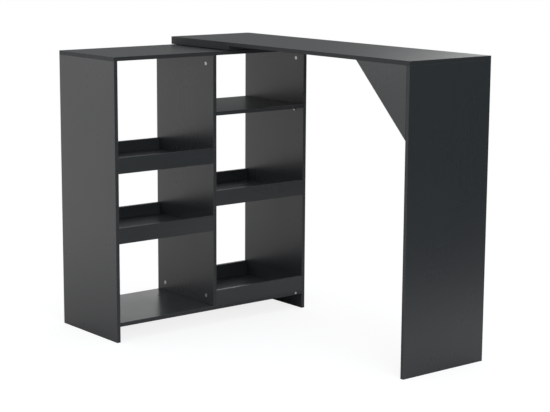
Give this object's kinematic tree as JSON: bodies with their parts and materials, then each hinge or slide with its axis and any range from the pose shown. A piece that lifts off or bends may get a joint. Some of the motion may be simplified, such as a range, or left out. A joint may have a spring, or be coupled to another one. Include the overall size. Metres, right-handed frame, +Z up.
{
  "type": "bar table",
  "caption": "L-shaped black laminate bar table: an open shelf cabinet with trays, and a tabletop on a panel leg with a corner brace that swivels over the cabinet.",
  "frame": {"origin": "on the floor, in the middle of the L-shaped plan's outer box", "axes": "+Z up, +Y along the tabletop from its leg to the cabinet, +X along the cabinet"},
  "size_m": [0.91, 1.38, 1.1],
  "materials": {
    "black_laminate": "black melamine laminate with a fine wood grain on chipboard, matching edge bands",
    "cam_zinc": "satin die-cast zinc",
    "bolt_steel": "zinc-plated steel",
    "dowel_beech": "plain beech",
    "support_nickel": "nickel-plated steel",
    "bush_nylon": "dark grey nylon"
  },
  "bodies": {
    "cabinet": {"left_side_panel": "black_laminate", "right_side_panel": "black_laminate", "centre_panel": "black_laminate", "cabinet_top": "black_laminate", "bottom_board": "black_laminate", "left_upper_tray_board": "black_laminate", "left_upper_front_rail": "black_laminate", "left_upper_rear_rail": "black_laminate", "left_lower_tray_board": "black_laminate", "left_lower_front_rail": "black_laminate", "left_lower_rear_rail": "black_laminate", "right_middle_tray_board": "black_laminate", "right_middle_front_rail": "black_laminate", "right_middle_rear_rail": "black_laminate", "right_bottom_front_rail": "black_laminate", "right_bottom_rear_rail": "black_laminate", "right_upper_shelf": "black_laminate", "cabinet_cam_discs": "cam_zinc", "cabinet_cam_bolts": "bolt_steel", "cabinet_dowels": "dowel_beech", "shelf_supports": "support_nickel", "bottom_edge_screw": "support_nickel", "pivot_bush": "bush_nylon", "glide_disc": "bush_nylon"},
    "table": {"tabletop": "black_laminate", "swivel_block": "black_laminate", "leg_panel": "black_laminate", "corner_brace": "black_laminate", "table_cam_discs": "cam_zinc", "table_cam_bolts": "bolt_steel", "table_dowels": "dowel_beech", "swivel_block_screws": "bolt_steel", "pivot_bolt": "bolt_steel", "pivot_washer": "bolt_steel", "pivot_lock_nut": "bolt_steel"}
  },
  "joints": [
    {"name": "tabletop_swivel", "type": "hinge", "parent": "cabinet", "child": "table", "pos_m": [0.26, 0.5, 1.068], "axis": [0, 0, 1], "continuous": true}
  ]
}
